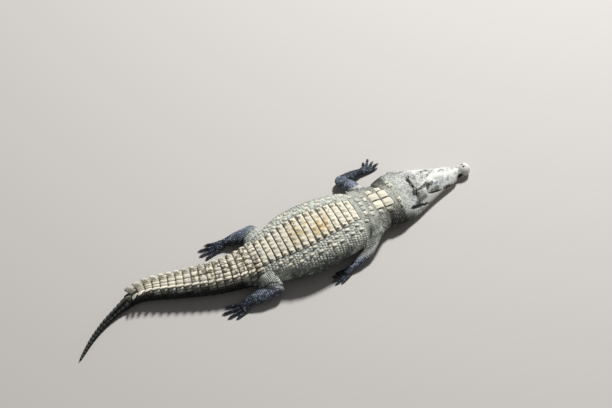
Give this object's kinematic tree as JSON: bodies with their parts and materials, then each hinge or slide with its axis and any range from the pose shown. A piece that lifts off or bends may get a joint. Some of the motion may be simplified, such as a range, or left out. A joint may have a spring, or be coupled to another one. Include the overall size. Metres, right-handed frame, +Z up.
{
  "type": "american crocodile",
  "caption": "Adult American crocodile basking flat on its belly, tail curved to one side, still life-size model with scutes, tail crest, clawed feet and closed jaws.",
  "frame": {"origin": "bottom centre of the bounding box, on the floor that the belly rests on", "axes": "+X toward the nose along the trunk, +Y to the animal's left, +Z up"},
  "size_m": [3.4926, 0.8784, 0.3354],
  "materials": {
    "hide_head": "dry matt hide close to the bone, pale cream mottled grey",
    "hide_back": "dry matt scutes, ivory with ochre and brown stains over grey-green hide",
    "hide_leg": "dry matt scales, slate grey",
    "hide_tail_end": "dry matt scales, near black",
    "eye": "wet, olive iris with a dark slit pupil",
    "claw": "dark horn, satin"
  },
  "bodies": {
    "root": {"eye_left": "eye", "eye_right": "eye", "foreleg_left_claw_1": "claw", "foreleg_left_claw_2": "claw", "foreleg_left_claw_3": "claw", "foreleg_left_forearm": "hide_leg", "foreleg_left_hand": "hide_leg", "foreleg_left_upper_arm": "hide_leg", "foreleg_right_claw_1": "claw", "foreleg_right_claw_2": "claw", "foreleg_right_claw_3": "claw", "foreleg_right_forearm": "hide_leg", "foreleg_right_hand": "hide_leg", "foreleg_right_upper_arm": "hide_leg", "hindleg_left_claw_1": "claw", "hindleg_left_claw_2": "claw", "hindleg_left_claw_3": "claw", "hindleg_left_foot": "hide_leg", "hindleg_left_shank": "hide_leg", "hindleg_left_thigh": "hide_leg", "hindleg_right_claw_1": "claw", "hindleg_right_claw_2": "claw", "hindleg_right_claw_3": "claw", "hindleg_right_foot": "hide_leg", "hindleg_right_shank": "hide_leg", "hindleg_right_thigh": "hide_leg", "lower_jaw": "hide_head", "neck": "hide_back", "skull": "hide_head", "tail_1": "hide_back", "tail_2": "hide_back", "tail_3": "hide_back", "tail_4": "hide_tail_end", "tail_5": "hide_tail_end", "trunk_front": "hide_back", "trunk_mid": "hide_back", "trunk_rear": "hide_back"}
  },
  "joints": []
}
